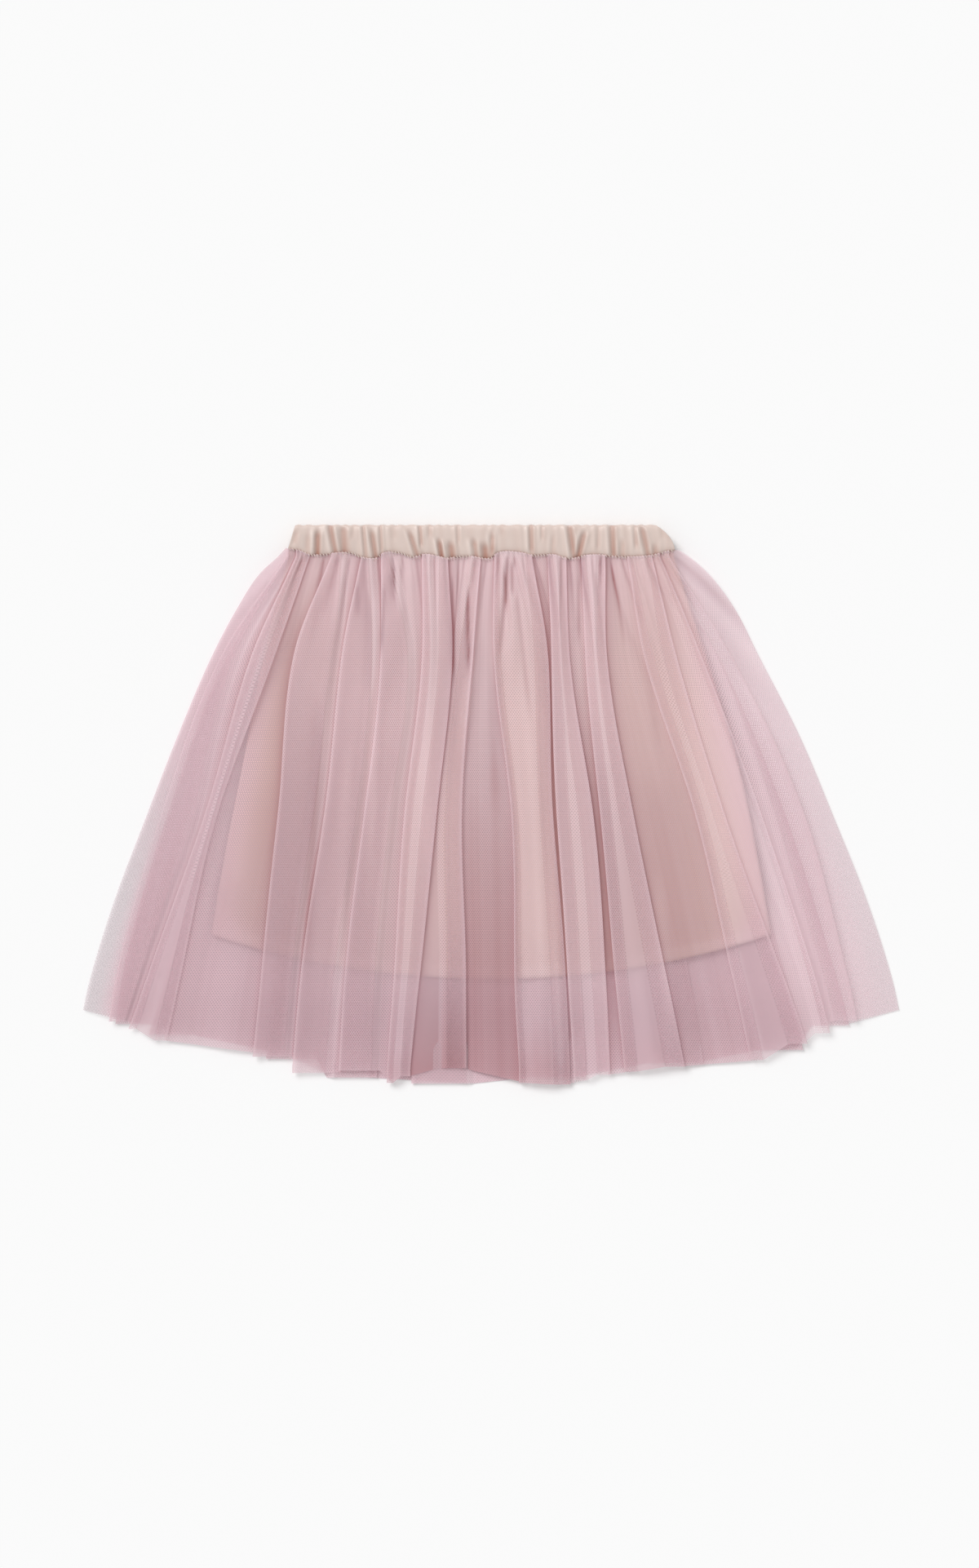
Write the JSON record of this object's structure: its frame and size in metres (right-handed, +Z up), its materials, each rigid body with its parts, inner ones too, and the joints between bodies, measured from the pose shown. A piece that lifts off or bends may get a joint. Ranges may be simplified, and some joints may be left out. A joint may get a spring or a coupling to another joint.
{
  "type": "tulle skirt",
  "caption": "Gathered tulle skirt for a child, laid flat, with an elasticated satin waistband and a shorter satin lining.",
  "frame": {"origin": "under the middle of the laid skirt's outline, on the surface it lies on", "axes": "+X across the skirt to the picture's right, +Y from the hem to the waist, +Z up from the surface"},
  "size_m": [0.501, 0.3453, 0.0148],
  "materials": {
    "tulle": "fine pink net",
    "satin_lining": "peach satin",
    "satin_band": "peach satin, gathered over elastic"
  },
  "bodies": {
    "root": {"tulle_front": "tulle", "tulle_back": "tulle", "lining_front": "satin_lining", "lining_back": "satin_lining", "waistband_front": "satin_band", "waistband_back": "satin_band"}
  },
  "joints": []
}
